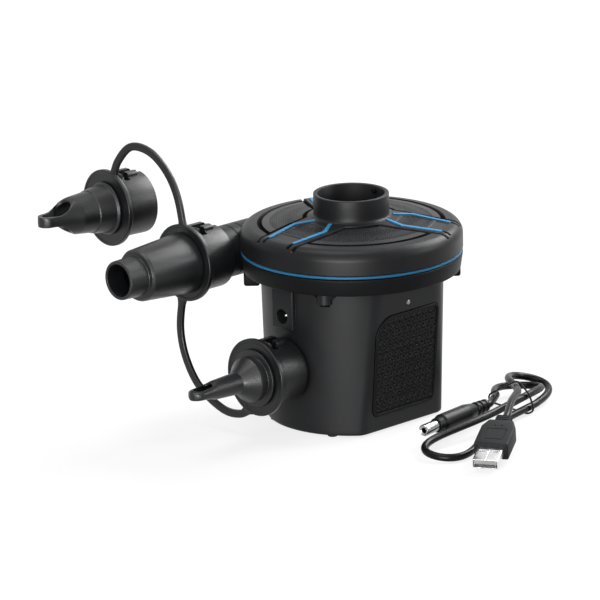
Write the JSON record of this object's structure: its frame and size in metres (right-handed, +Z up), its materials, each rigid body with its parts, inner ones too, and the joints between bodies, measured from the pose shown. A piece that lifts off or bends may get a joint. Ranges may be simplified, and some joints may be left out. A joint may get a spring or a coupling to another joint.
{
  "type": "rechargeable air pump",
  "caption": "Squat electric air pump with a finned round lid, inlet collar, side outlet, tethered nozzles of different shapes and a charge cable tied in a hank.",
  "frame": {"origin": "on the pump's vertical axis at the floor its feet stand on", "axes": "+Z up along the pump's axis, -Y the way the nozzles point, +X towards the grip pad that faces the picture"},
  "size_m": [0.2341, 0.1863, 0.1289],
  "materials": {
    "black_plastic": "satin moulded plastic",
    "grip_plastic": "coarse textured plastic",
    "blue_plastic": "satin blue trim",
    "black_rubber": "matte rubber",
    "tether_plastic": "soft satin plastic",
    "cable_pvc": "smooth flexible plastic",
    "bright_steel": "bright plated",
    "motor_steel": "zinc plated",
    "white_plastic": "plain moulded plastic",
    "battery_cell": "wrapped metal cell",
    "circuit_board": "green board",
    "lamp_lens": "clear lens"
  },
  "bodies": {
    "pump": {"motor_housing": "black_plastic", "base_cover": "black_plastic", "blower_rim": "black_plastic", "outlet_duct": "black_plastic", "top_cover": "black_plastic", "inlet_guard": "black_plastic", "nozzle_dock": "black_plastic", "switch_body": "black_plastic", "charge_jack": "black_plastic", "battery_holder": "black_plastic", "grip_pad_right": "grip_plastic", "grip_pad_left": "grip_plastic", "trim_ring": "blue_plastic", "inlay_strip_1": "blue_plastic", "inlay_strip_2": "blue_plastic", "inlay_strip_3": "blue_plastic", "inlay_strip_4": "blue_plastic", "inlay_strip_5": "blue_plastic", "inlay_strip_6": "blue_plastic", "foot_1": "black_rubber", "foot_2": "black_rubber", "foot_3": "black_rubber", "foot_4": "black_rubber", "charge_jack_pin": "bright_steel", "lid_screw_1": "bright_steel", "lid_screw_2": "bright_steel", "lid_screw_3": "bright_steel", "base_screw_1": "bright_steel", "base_screw_2": "bright_steel", "base_screw_3": "bright_steel", "base_screw_4": "bright_steel", "motor_screw_1": "bright_steel", "motor_screw_2": "bright_steel", "motor_can": "motor_steel", "motor_end_cap": "white_plastic", "battery_cell_1": "battery_cell", "battery_cell_2": "battery_cell", "control_board": "circuit_board", "status_lamp": "lamp_lens"},
    "rotor": {"motor_shaft": "bright_steel", "impeller": "white_plastic"},
    "rocker": {"switch_rocker": "black_plastic"},
    "nozzle_set": {"tether": "tether_plastic"},
    "nozzle_large": {"nozzle_large": "black_plastic"},
    "nozzle_fine": {"nozzle_fine": "black_plastic"},
    "nozzle_pinch": {"nozzle_pinch": "black_plastic"},
    "charge_lead": {"charge_cable": "cable_pvc", "cable_tie": "cable_pvc", "round_plug_body": "cable_pvc", "round_plug_barrel": "bright_steel", "flat_plug_body": "cable_pvc", "flat_plug_shell": "bright_steel", "flat_plug_tongue": "white_plastic"}
  },
  "joints": [
    {"name": "impeller_spin", "type": "hinge", "parent": "pump", "child": "rotor", "pos_m": [0, 0, 0.08], "axis": [0, 0, 1], "continuous": true},
    {"name": "power_rocker", "type": "hinge", "parent": "pump", "child": "rocker", "pos_m": [0, 0.04, 0.05], "axis": [1, 0, 0], "range_deg": [0, 16]},
    {"name": "nozzle_pull", "type": "slide", "parent": "pump", "child": "nozzle_set", "axis": [0, -1, 0], "range_m": [0, 0.04]},
    {"name": "large_nozzle_twist", "type": "hinge", "parent": "nozzle_set", "child": "nozzle_large", "pos_m": [-0.048, -0.063, 0.0768], "axis": [0, -1, 0], "range_deg": [0, 20]},
    {"name": "fine_nozzle_twist", "type": "hinge", "parent": "nozzle_set", "child": "nozzle_fine", "pos_m": [-0.001, -0.063, 0.0308], "axis": [0, -1, 0], "range_deg": [0, 20]},
    {"name": "pinch_nozzle_twist", "type": "hinge", "parent": "nozzle_set", "child": "nozzle_pinch", "pos_m": [-0.1005, -0.063, 0.0936], "axis": [-0.0958, -0.9954, 0], "continuous": true},
    {"name": "charge_lead_lift", "type": "slide", "parent": "pump", "child": "charge_lead", "axis": [0, 0, 1], "range_m": [0, 0.15]}
  ]
}
